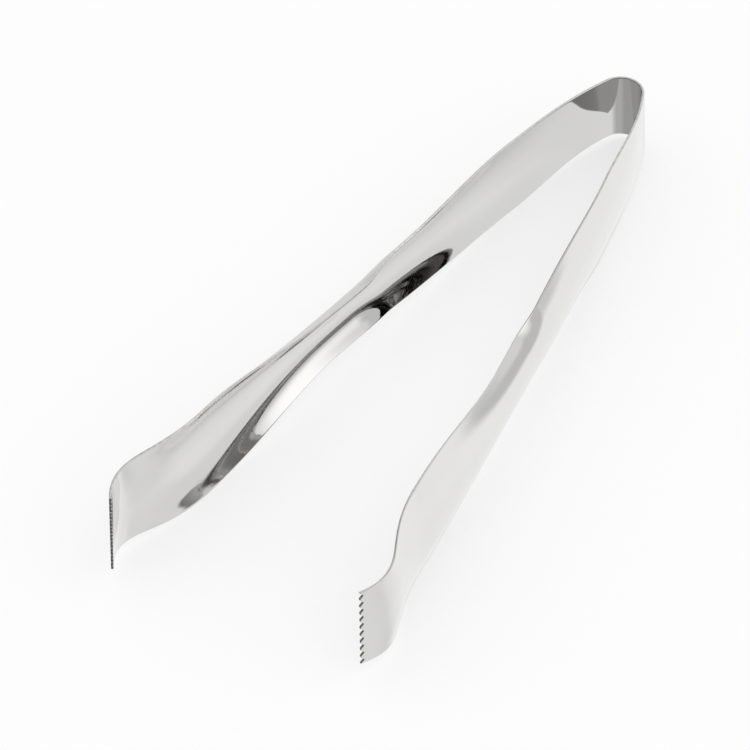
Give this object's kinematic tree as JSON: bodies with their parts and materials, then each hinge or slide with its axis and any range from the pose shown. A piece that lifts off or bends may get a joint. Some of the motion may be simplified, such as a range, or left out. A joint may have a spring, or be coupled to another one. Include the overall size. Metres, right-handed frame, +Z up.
{
  "type": "ice tongs",
  "caption": "Sprung ice tongs bent from one strip of polished steel sheet, with channelled arms, a narrow waist and hooked, toothed jaws.",
  "frame": {"origin": "middle of the base of the tongs' box as they lie on their long edges, on the plane that halves the two arms", "axes": "+Z up, along the width of the strip; +Y from the jaws to the bow; +X to the right arm"},
  "size_m": [0.0688, 0.178, 0.0256],
  "materials": {
    "polished_steel": "mirror-polished stainless steel"
  },
  "bodies": {
    "bow": {"spring_bow": "polished_steel"},
    "left_arm": {"left_arm": "polished_steel", "left_jaw": "polished_steel"},
    "right_arm": {"right_arm": "polished_steel", "right_jaw": "polished_steel"}
  },
  "joints": [
    {"name": "left_squeeze", "type": "hinge", "parent": "bow", "child": "left_arm", "pos_m": [-0.00432, 0.08573, 0.01281], "axis": [0, 0, 1], "range_deg": [0, 9.95], "stiffness_Nm_per_rad": 1.2},
    {"name": "right_squeeze", "type": "hinge", "parent": "bow", "child": "right_arm", "pos_m": [0.00432, 0.08573, 0.01281], "axis": [0, 0, -1], "range_deg": [0, 9.95], "stiffness_Nm_per_rad": 1.2}
  ],
  "couplings": [
    {"joint": "right_squeeze", "follows": "left_squeeze", "ratio": 1}
  ]
}
